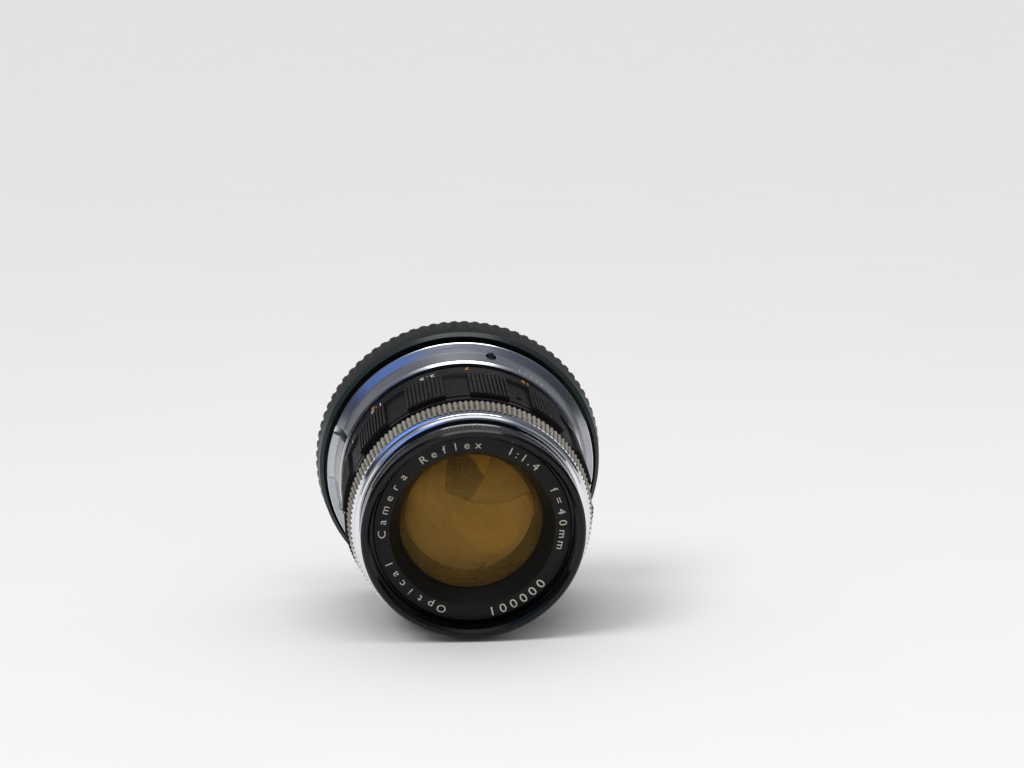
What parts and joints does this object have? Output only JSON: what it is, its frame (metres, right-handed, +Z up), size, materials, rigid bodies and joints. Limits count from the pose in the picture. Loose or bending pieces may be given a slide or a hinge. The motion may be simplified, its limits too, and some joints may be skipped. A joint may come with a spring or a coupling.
{
  "type": "prime camera lens",
  "caption": "Manual-focus 40 mm f/1.4 prime lens with ribbed focus ring, knurled aperture ring, five-blade iris, bayonet mount and rear cap.",
  "frame": {"origin": "on the optical axis, in the flange face that seats on the camera", "axes": "+Y along the optical axis towards the camera, -Y out of the front glass, +Z up in use"},
  "size_m": [0.0622, 0.0466, 0.0622],
  "materials": {
    "satin_chrome": "satin chromed brass, finely turned, with polished edges",
    "mount_chrome": "bright turned chrome",
    "polished_chrome": "mirror polished chrome",
    "knurled_chrome": "satin chrome, finely knurled, with a polished front bevel",
    "satin_black": "satin black enamel on aluminium",
    "gloss_black": "gloss black enamel on aluminium",
    "matt_black": "matt black anodised aluminium",
    "brass": "machined brass, greased",
    "aluminium": "machined aluminium",
    "steel": "small turned steel parts",
    "blade_steel": "thin spring steel, dulled by oil",
    "amber_glass": "optical glass that has yellowed, with an amber coating",
    "clear_glass": "optical glass, coated",
    "cap_plastic": "moulded black plastic, slightly worn on the ribs"
  },
  "bodies": {
    "mount": {"base_ring": "satin_chrome", "base_screws": "steel", "bayonet_ring": "mount_chrome", "bayonet_screws": "steel", "bearing_sleeve": "aluminium", "focus_retaining_ring": "aluminium", "focus_stop_block": "aluminium", "guide_keys": "brass", "rear_baffle": "matt_black"},
    "focus_ring": {"focus_ring": "satin_black", "focus_grub_screws": "steel", "helicoid_nut": "brass", "focus_stop_pin": "steel"},
    "lens_block": {"filter_ring": "gloss_black", "lip_ring": "polished_chrome", "name_ring": "satin_black", "front_cell": "matt_black", "element_1": "amber_glass", "element_2": "amber_glass", "element_3": "clear_glass", "element_2_retainer": "matt_black", "main_barrel": "matt_black", "barrel_ring": "gloss_black", "click_ball": "steel", "click_spring": "steel", "iris_retainer": "matt_black", "rear_cell": "matt_black", "doublet_retainer": "matt_black", "element_4": "clear_glass", "element_5": "amber_glass", "element_6": "amber_glass", "element_7": "amber_glass", "rear_spacer": "matt_black", "rear_retainer": "matt_black"},
    "aperture_ring": {"aperture_ring": "knurled_chrome", "aperture_fork": "steel"},
    "iris_cam": {"iris_cam": "aluminium"},
    "iris_blade_1": {"iris_blade_1": "blade_steel"},
    "iris_blade_2": {"iris_blade_2": "blade_steel"},
    "iris_blade_3": {"iris_blade_3": "blade_steel"},
    "iris_blade_4": {"iris_blade_4": "blade_steel"},
    "iris_blade_5": {"iris_blade_5": "blade_steel"},
    "preview_lever": {"preview_lever": "satin_chrome"},
    "stop_lever": {"stop_lever": "mount_chrome"},
    "rear_cap": {"rear_cap": "cap_plastic"}
  },
  "joints": [
    {"name": "focus_turn", "type": "hinge", "parent": "mount", "child": "focus_ring", "pos_m": [0, -0.015, 0], "axis": [0, -1, 0], "range_deg": [0, 170]},
    {"name": "focus_travel", "type": "slide", "parent": "mount", "child": "lens_block", "axis": [0, -1, 0], "range_m": [0, 0.0059]},
    {"name": "aperture_turn", "type": "hinge", "parent": "lens_block", "child": "aperture_ring", "pos_m": [0, -0.0293, 0], "axis": [0, -1, 0], "range_deg": [-48, 8]},
    {"name": "iris_cam_turn", "type": "hinge", "parent": "lens_block", "child": "iris_cam", "pos_m": [0, -0.0184, 0], "axis": [0, -1, 0], "range_deg": [-48, 8]},
    {"name": "iris_blade_1_swing", "type": "hinge", "parent": "lens_block", "child": "iris_blade_1", "pos_m": [0.00337, -0.019, 0.01462], "axis": [0, -1, 0], "range_deg": [-25.94, 4.33]},
    {"name": "iris_blade_2_swing", "type": "hinge", "parent": "lens_block", "child": "iris_blade_2", "pos_m": [-0.01286, -0.019, 0.00773], "axis": [0, -1, 0], "range_deg": [-25.94, 4.33]},
    {"name": "iris_blade_3_swing", "type": "hinge", "parent": "lens_block", "child": "iris_blade_3", "pos_m": [-0.01132, -0.019, -0.00984], "axis": [0, -1, 0], "range_deg": [-25.94, 4.33]},
    {"name": "iris_blade_4_swing", "type": "hinge", "parent": "lens_block", "child": "iris_blade_4", "pos_m": [0.00586, -0.019, -0.01381], "axis": [0, -1, 0], "range_deg": [-25.94, 4.33]},
    {"name": "iris_blade_5_swing", "type": "hinge", "parent": "lens_block", "child": "iris_blade_5", "pos_m": [0.01494, -0.019, 0.00131], "axis": [0, -1, 0], "range_deg": [-25.94, 4.33]},
    {"name": "preview_lever_press", "type": "hinge", "parent": "mount", "child": "preview_lever", "pos_m": [0, -0.0027, 0], "axis": [0, 1, 0], "range_deg": [0, 3], "stiffness_Nm_per_rad": 0.05, "springref_deg": -5.73},
    {"name": "stop_lever_swing", "type": "hinge", "parent": "mount", "child": "stop_lever", "pos_m": [0, -0.0025, 0], "axis": [0, -1, 0], "range_deg": [0, 22], "stiffness_Nm_per_rad": 0.02, "springref_deg": -8.59},
    {"name": "rear_cap_turn", "type": "hinge", "parent": "mount", "child": "rear_cap", "pos_m": [0, 0.003, 0], "axis": [0, 1, 0], "range_deg": [0, 60]}
  ],
  "couplings": [
    {"joint": "focus_travel", "follows": "focus_turn", "m_per_rad": 0.0019885},
    {"joint": "iris_cam_turn", "follows": "aperture_turn", "ratio": 1},
    {"joint": "iris_blade_1_swing", "follows": "aperture_turn", "ratio": 0.54018},
    {"joint": "iris_blade_2_swing", "follows": "aperture_turn", "ratio": 0.54018},
    {"joint": "iris_blade_3_swing", "follows": "aperture_turn", "ratio": 0.54018},
    {"joint": "iris_blade_4_swing", "follows": "aperture_turn", "ratio": 0.54018},
    {"joint": "iris_blade_5_swing", "follows": "aperture_turn", "ratio": 0.54018}
  ]
}
